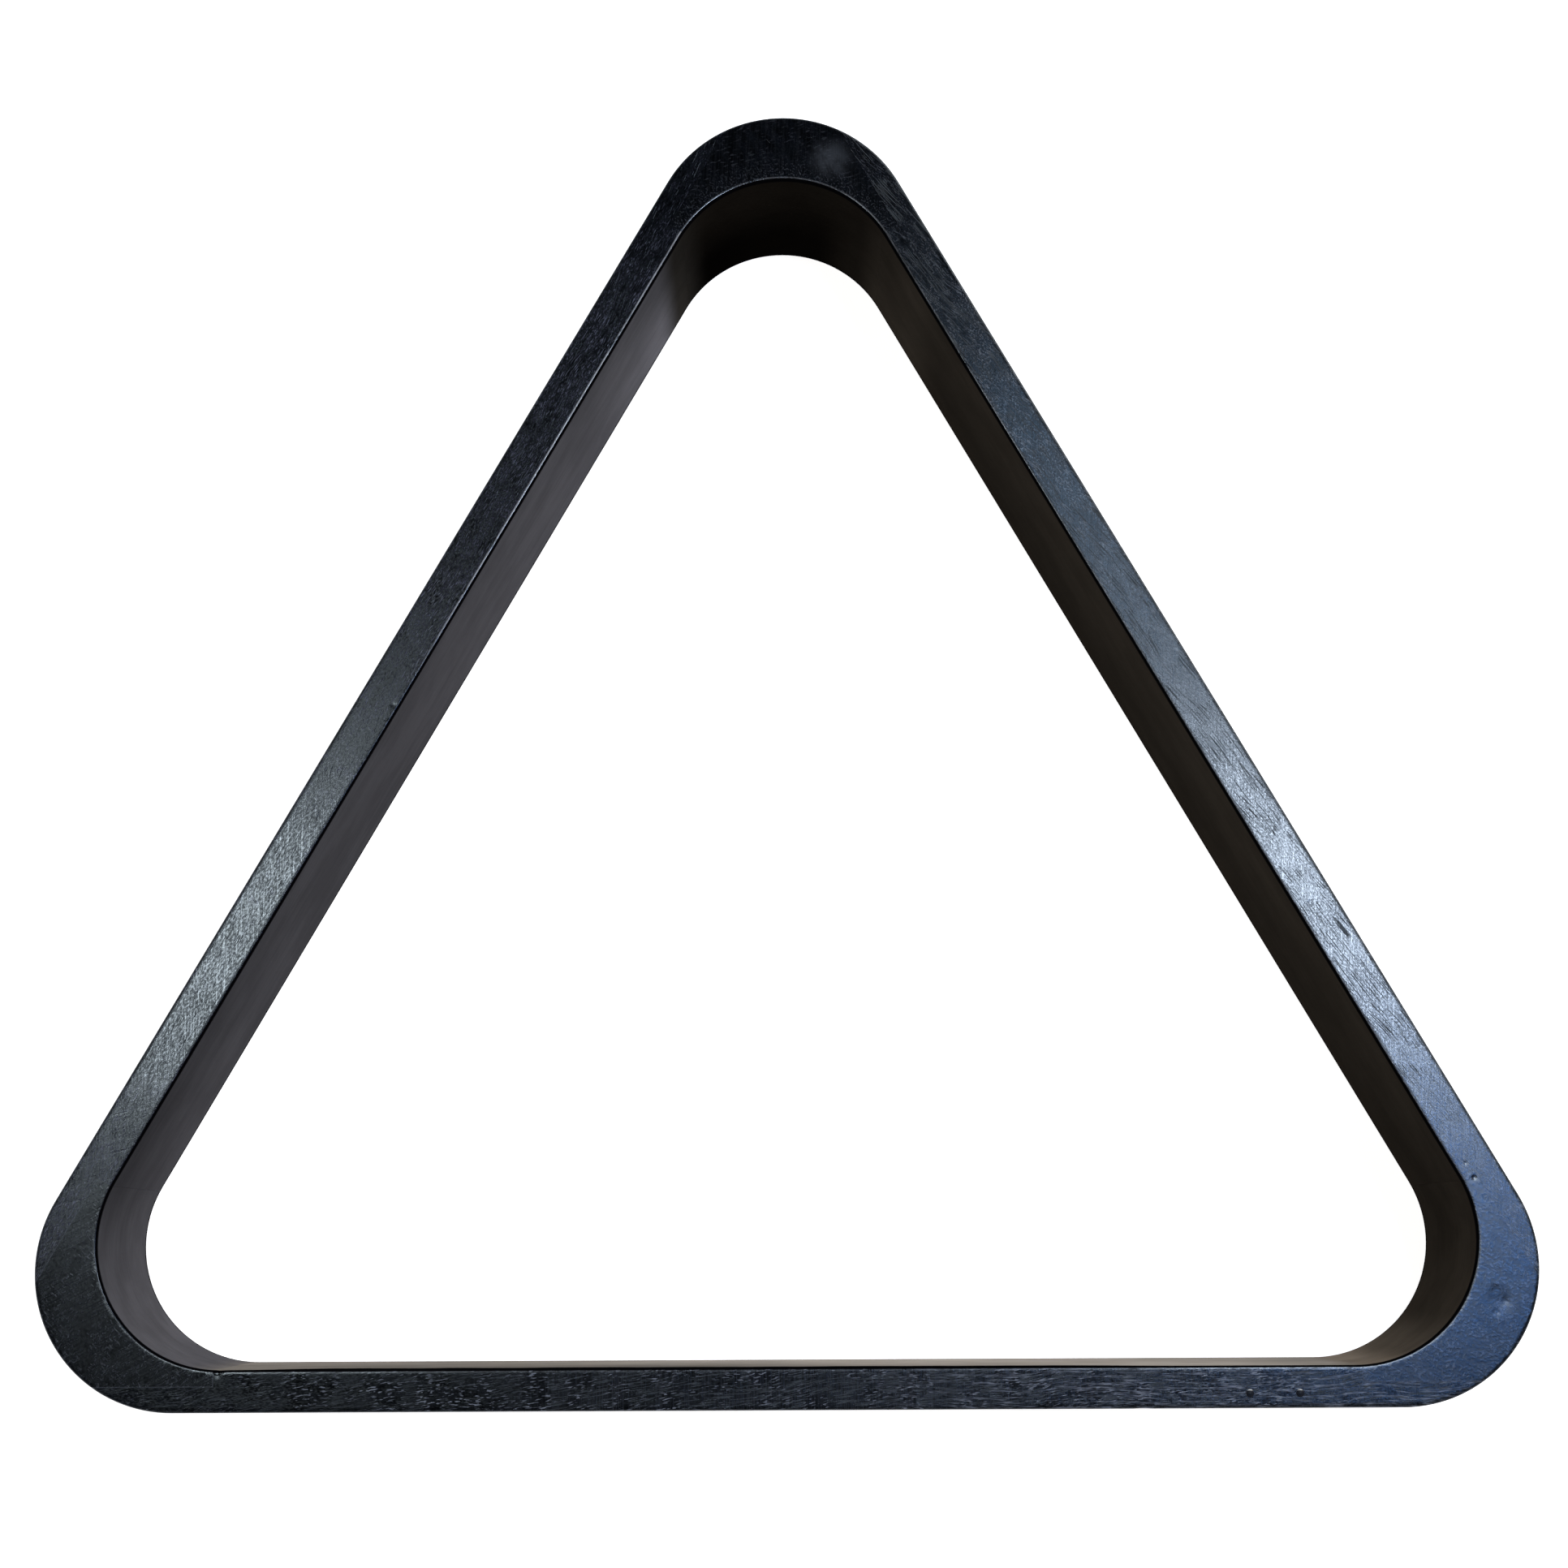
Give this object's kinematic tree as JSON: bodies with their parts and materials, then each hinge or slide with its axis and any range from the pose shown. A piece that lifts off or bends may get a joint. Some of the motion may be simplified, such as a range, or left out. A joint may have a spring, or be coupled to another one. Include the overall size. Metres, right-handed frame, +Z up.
{
  "type": "triangle rack",
  "caption": "Black-stained wooden triangle rack for pool balls: straight rails lapped and glued to curved corner blocks with rounded inner and outer corners.",
  "frame": {"origin": "middle of the footprint, on the surface that the rack lies on", "axes": "+X along the bottom rail, +Y towards the apex, +Z up out of the upper flat face"},
  "size_m": [0.317, 0.2824, 0.0543],
  "materials": {
    "rail_wood": "black stain under satin lacquer, open grain running along the rail",
    "block_wood": "black stain under satin lacquer, mottled cross grain",
    "painted_pin": "steel head under the same black lacquer, satin"
  },
  "bodies": {
    "root": {"bottom_rail": "rail_wood", "left_rail": "rail_wood", "right_rail": "rail_wood", "apex_block": "block_wood", "left_corner_block": "block_wood", "right_corner_block": "block_wood", "brad_pin_inner": "painted_pin", "brad_pin_outer": "painted_pin"}
  },
  "joints": []
}
